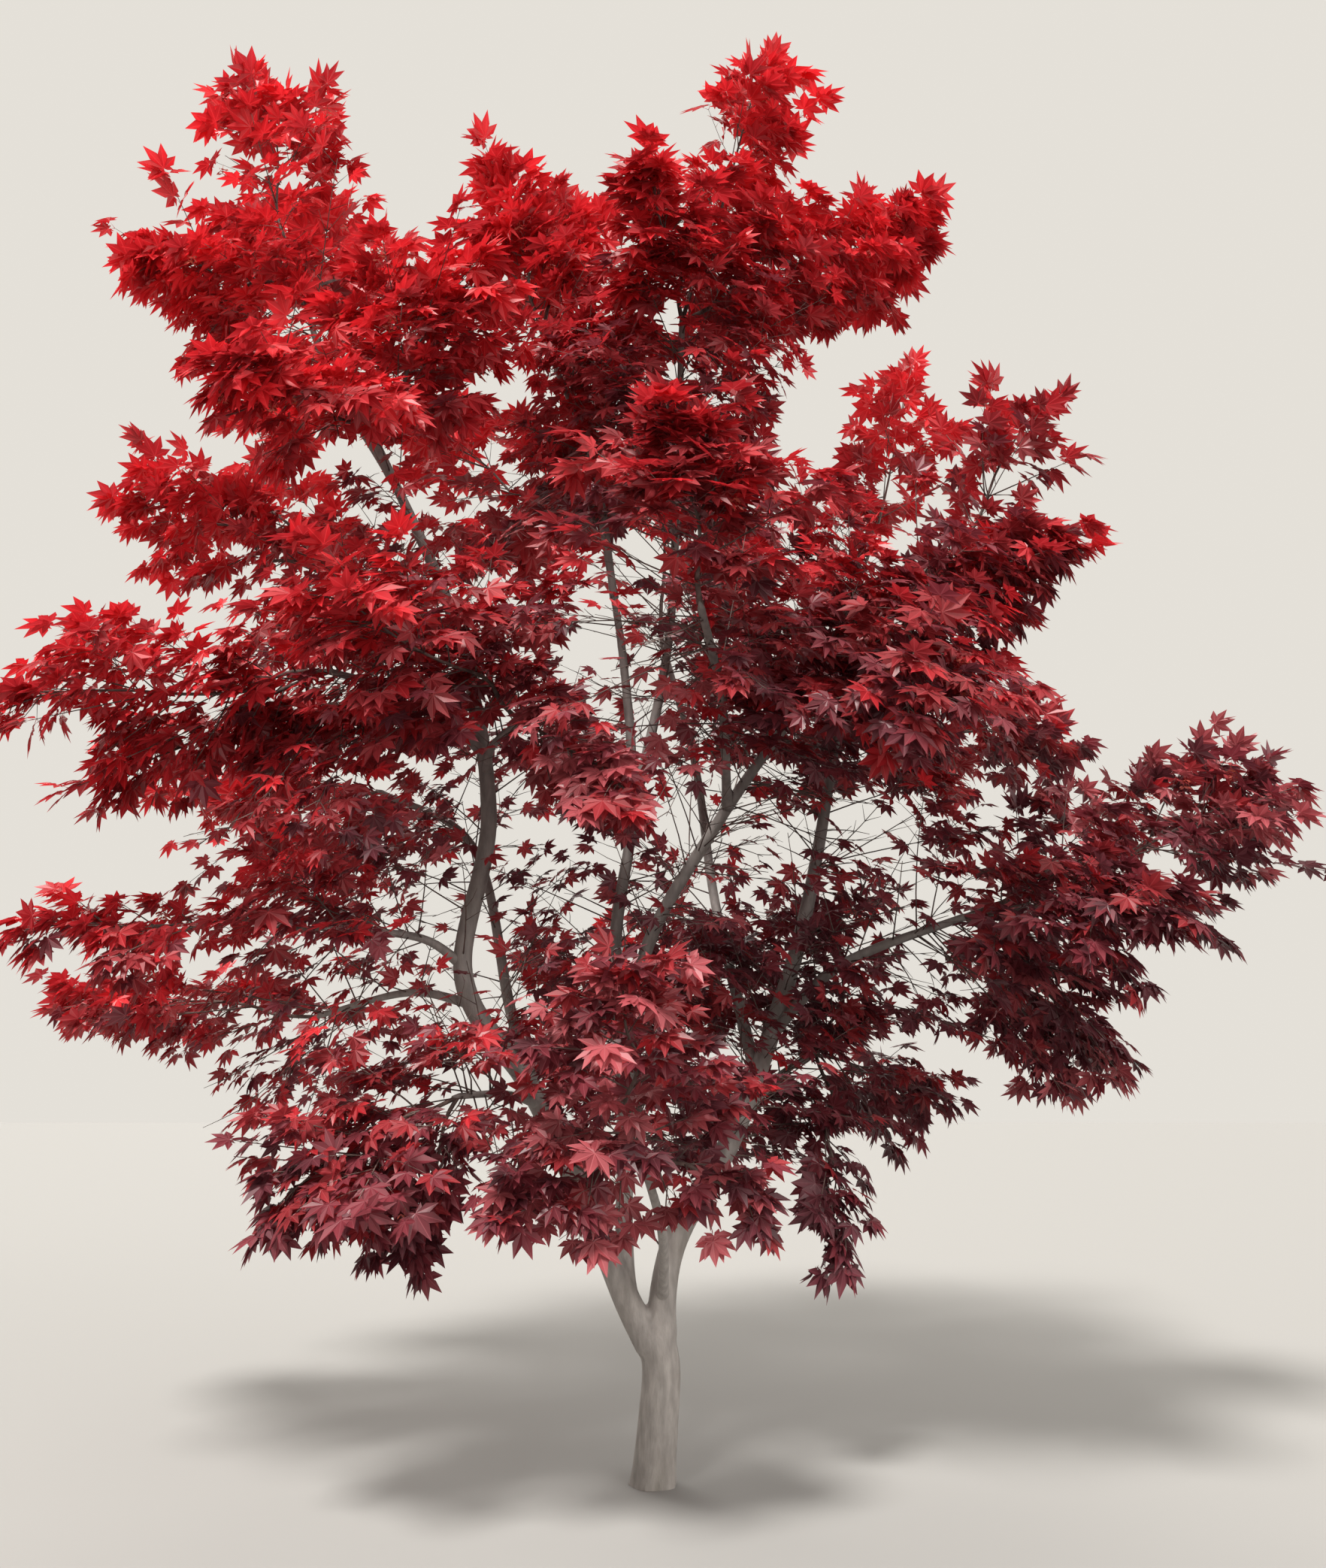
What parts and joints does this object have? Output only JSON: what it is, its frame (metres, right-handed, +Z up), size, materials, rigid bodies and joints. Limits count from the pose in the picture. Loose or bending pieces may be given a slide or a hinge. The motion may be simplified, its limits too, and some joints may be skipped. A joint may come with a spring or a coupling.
{
  "type": "japanese maple tree",
  "caption": "Small spreading tree with a short forked trunk, long bare boughs and a layered crown of red palmate leaves.",
  "frame": {"origin": "middle of the flat cut under the trunk, on level ground", "axes": "+Z up along the trunk; +X to the tree's right as seen from its front; -Y towards the front"},
  "size_m": [3.599, 2.4187, 4.169],
  "materials": {
    "bark": "smooth grey bark",
    "leaf_scarlet": "thin leaf, satin",
    "leaf_crimson": "thin leaf, satin",
    "leaf_maroon": "thin leaf, satin",
    "leaf_rose": "thin leaf, satin"
  },
  "bodies": {
    "root": {"trunk": "bark", "left_stem": "bark", "right_stem": "bark", "centre_stem": "bark", "inner_right": "bark", "leader": "bark", "behind_left": "bark", "inner_back": "bark", "left_tier": "bark", "left_low": "bark", "low_left": "bark", "right_low": "bark", "right_down": "bark", "mid_left": "bark", "mid_left_up": "bark", "top_left": "bark", "front_low": "bark", "front_high": "bark", "back_low": "bark", "centre_up": "bark", "elbow": "bark", "foliage_upper_left_centre": "leaf_scarlet", "foliage_upper_left_front": "leaf_scarlet", "foliage_left_peak": "leaf_scarlet", "foliage_left_shoulder": "leaf_scarlet", "foliage_left_top_back": "leaf_scarlet", "foliage_high_left": "leaf_scarlet", "foliage_high_mid": "leaf_scarlet", "foliage_mid_crown": "leaf_scarlet", "foliage_peak": "leaf_scarlet", "foliage_leader_left": "leaf_scarlet", "foliage_top_right_pad": "leaf_crimson", "foliage_centre_back": "leaf_scarlet", "foliage_right_plume": "leaf_crimson", "foliage_right_shelf": "leaf_maroon", "foliage_right_front": "leaf_crimson", "foliage_right_mid": "leaf_maroon", "foliage_right_behind": "leaf_crimson", "foliage_far_right": "leaf_maroon", "foliage_far_right_front": "leaf_maroon", "foliage_low_right_pad": "leaf_maroon", "foliage_right_skirt": "leaf_maroon", "foliage_right_tassel": "leaf_maroon", "foliage_right_inner": "leaf_maroon", "foliage_front_centre": "leaf_rose", "foliage_front_left": "leaf_rose", "foliage_front_right": "leaf_rose", "foliage_front_crown": "leaf_scarlet", "foliage_mid_cluster": "leaf_rose", "foliage_mid_left_front": "leaf_crimson", "foliage_left_reach": "leaf_crimson", "foliage_left_under": "leaf_crimson", "foliage_left_upper_reach": "leaf_scarlet", "foliage_left_rise": "leaf_scarlet", "foliage_left_back_low": "leaf_maroon", "foliage_left_tier_pad": "leaf_crimson", "foliage_left_low_pad": "leaf_crimson", "foliage_skirt_left": "leaf_maroon", "foliage_low_tassel": "leaf_maroon", "foliage_back_skirt": "leaf_maroon"}
  },
  "joints": []
}
